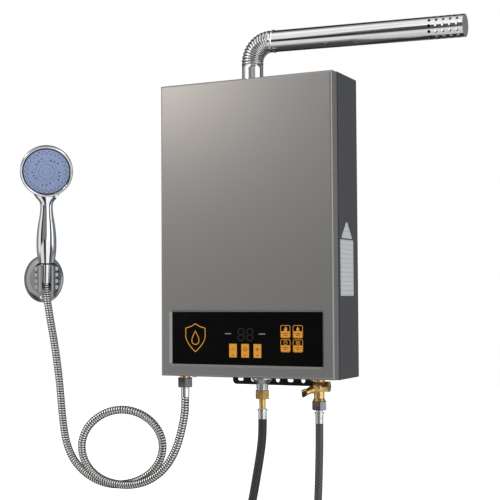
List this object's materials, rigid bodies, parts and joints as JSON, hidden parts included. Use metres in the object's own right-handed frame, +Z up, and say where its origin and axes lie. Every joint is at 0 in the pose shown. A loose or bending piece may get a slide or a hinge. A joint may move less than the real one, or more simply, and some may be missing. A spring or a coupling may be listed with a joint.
{
  "type": "tankless gas water heater",
  "caption": "Wall-hung tankless gas water heater with control panel, side flue pipe, supply hoses and a hand shower in its wall holder.",
  "frame": {"origin": "On the wall plane, midway between the two outer round holes of the top wall strip.", "axes": "X to the right along the wall, +Y into the wall, Z up."},
  "size_m": [0.9834, 0.1365, 1.0922],
  "materials": {
    "cover_paint": "satin warm-grey metallic paint",
    "case_paint": "satin dark grey paint",
    "strip_paint": "black paint",
    "zinc": "zinc plated",
    "panel_black": "gloss black acrylic",
    "carrier_black": "moulded black",
    "board": "solder-masked board",
    "display": "segment display block",
    "key_amber": "printed amber cap",
    "flue_steel": "bright stainless tube",
    "copper": "bare copper",
    "burner_steel": "aluminised sheet",
    "cast": "die-cast, as cast",
    "ceramic": "glazed white",
    "box_plastic": "potted module",
    "motor_steel": "blackened steel",
    "impeller_steel": "bare sheet",
    "white_plastic": "moulded",
    "brass": "bare brass",
    "nut_steel": "nickel plated",
    "hose_steel": "interlocked bright strip",
    "hose_rubber": "smooth dark rubber",
    "hose_braid": "steel braid over rubber",
    "plated_plastic": "chrome plated plastic",
    "ring_rubber": "black ring",
    "face_blue": "lilac-blue moulded face"
  },
  "bodies": {
    "heater": {"rear_case": "case_paint", "front_cover": "cover_paint", "cover_screws": "zinc", "top_wall_strip": "strip_paint", "bottom_wall_strip": "strip_paint", "strip_rivets": "zinc", "control_panel": "panel_black", "panel_carrier": "carrier_black", "control_board": "board", "display_module": "display", "flue_collar": "flue_steel", "flue_hood": "burner_steel", "exchanger_shell": "copper", "exchanger_coil": "copper", "exchanger_fins": "copper", "exchanger_brackets": "burner_steel", "burner_box": "burner_steel", "burner_bars": "burner_steel", "gas_manifold": "cast", "electrodes": "ceramic", "gas_valve": "cast", "gas_riser": "copper", "blower_housing": "burner_steel", "blower_motor": "motor_steel", "flow_sensor": "white_plastic", "cold_riser": "copper", "hot_pipe": "copper", "ignition_module": "box_plastic", "power_supply": "box_plastic", "hot_outlet": "brass", "hot_nut": "nut_steel", "hose_sleeve": "nut_steel", "gas_inlet": "cast", "gas_nut": "brass", "gas_tail": "brass", "gas_ferrule": "nut_steel", "cold_inlet": "brass", "cold_nut": "nut_steel", "cold_ferrule": "nut_steel", "gas_hose": "hose_rubber", "cold_hose": "hose_braid", "gas_hose_end": "nut_steel", "cold_hose_end": "nut_steel", "bracket_plate": "plated_plastic", "bracket_holder": "plated_plastic", "shower_hose": "hose_steel"},
    "flue": {"flue_elbow": "flue_steel", "flue_pipe": "flue_steel", "flue_end_cap": "flue_steel"},
    "blower": {"blower_impeller": "impeller_steel"},
    "turbine": {"flow_rotor": "white_plastic"},
    "minus": {"minus_key": "key_amber"},
    "power": {"power_key": "key_amber"},
    "plus": {"plus_key": "key_amber"},
    "drain": {"drain_knob": "brass"},
    "cone": {"hose_cone": "plated_plastic"},
    "handset": {"handset_body": "plated_plastic", "handset_ring": "ring_rubber", "spray_face": "face_blue"},
    "selector": {"selector_ring": "plated_plastic"}
  },
  "joints": [
    {"name": "flue_turn", "type": "hinge", "parent": "heater", "child": "flue", "pos_m": [-0.009, -0.061, -0.01], "axis": [0, 0, 1], "range_deg": [-180, 0]},
    {"name": "blower_spin", "type": "hinge", "parent": "heater", "child": "blower", "pos_m": [-0.075, -0.054, -0.505], "axis": [0, 1, 0], "continuous": true},
    {"name": "turbine_spin", "type": "hinge", "parent": "heater", "child": "turbine", "pos_m": [0.121, -0.061, -0.515], "axis": [0, 0, 1], "continuous": true},
    {"name": "minus_press", "type": "slide", "parent": "heater", "child": "minus", "axis": [0, 1, 0], "range_m": [0, 0.0008], "stiffness_N_per_m": 1500},
    {"name": "power_press", "type": "slide", "parent": "heater", "child": "power", "axis": [0, 1, 0], "range_m": [0, 0.0008], "stiffness_N_per_m": 1500},
    {"name": "plus_press", "type": "slide", "parent": "heater", "child": "plus", "axis": [0, 1, 0], "range_m": [0, 0.0008], "stiffness_N_per_m": 1500},
    {"name": "drain_turn", "type": "hinge", "parent": "heater", "child": "drain", "pos_m": [0.121, -0.061, -0.575], "axis": [-0.7405, -0.558, -0.3746], "range_deg": [0, 90]},
    {"name": "handset_lift", "type": "slide", "parent": "heater", "child": "cone", "axis": [0.1222, -0.1682, 0.9781], "range_m": [0, 0.045]},
    {"name": "handset_turn", "type": "hinge", "parent": "cone", "child": "handset", "pos_m": [-0.492, -0.048, -0.337], "axis": [0.1222, -0.1682, 0.9781], "range_deg": [-90, 90]},
    {"name": "selector_turn", "type": "hinge", "parent": "handset", "child": "selector", "pos_m": [-0.45268, -0.10212, -0.15697], "axis": [0.5523, -0.7602, -0.342], "range_deg": [0, 110]}
  ]
}
